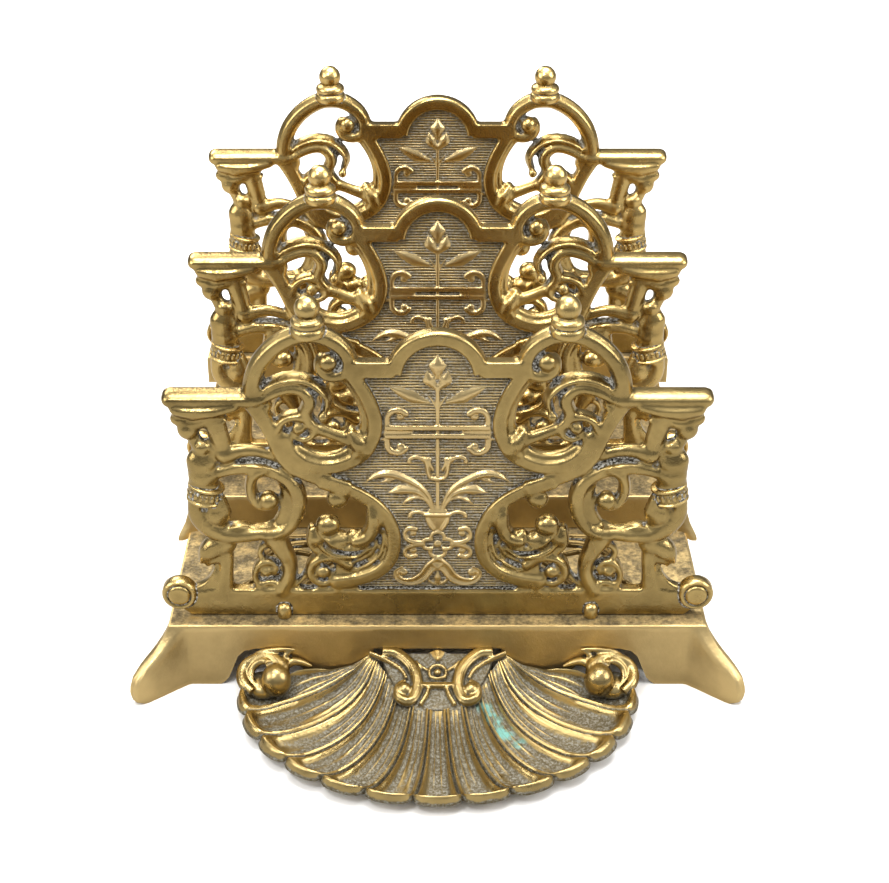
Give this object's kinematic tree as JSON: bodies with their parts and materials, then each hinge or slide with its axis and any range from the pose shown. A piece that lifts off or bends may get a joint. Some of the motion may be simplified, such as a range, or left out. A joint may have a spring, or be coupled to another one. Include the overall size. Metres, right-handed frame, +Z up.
{
  "type": "letter rack",
  "caption": "Cast brass letter rack: pierced scrollwork panels on a stepped base with bracket feet, and a scallop-shell pen dish in front.",
  "frame": {"origin": "bottom centre of the bounding box, on the surface that the rack stands on", "axes": "+Z up, -Y out of the front where the dish is, +X to the right seen from the front"},
  "size_m": [0.212, 0.2472, 0.1733],
  "materials": {
    "brass_base": "aged cast brass, worn smooth and olive-brown, with dark grime and pale residue in the corners",
    "brass_panel": "aged cast brass, polished on the high scrollwork, dark brown and pale residue in the recesses",
    "brass_dish": "aged cast brass, tarnished grey-brown in the flutes, with traces of verdigris",
    "brass_screw": "turned brass, dulled"
  },
  "bodies": {
    "root": {"base": "brass_base", "middle_step": "brass_base", "rear_step": "brass_base", "shell_dish": "brass_dish", "front_panel": "brass_panel", "middle_panel": "brass_panel", "rear_panel": "brass_panel", "front_panel_screw_left": "brass_screw", "front_panel_screw_right": "brass_screw", "middle_panel_screw_left": "brass_screw", "middle_panel_screw_right": "brass_screw", "rear_panel_screw_left": "brass_screw", "rear_panel_screw_right": "brass_screw", "middle_step_screw_left": "brass_screw", "middle_step_screw_right": "brass_screw", "rear_step_screw_left": "brass_screw", "rear_step_screw_right": "brass_screw", "dish_screw_left": "brass_screw", "dish_screw_right": "brass_screw"}
  },
  "joints": []
}
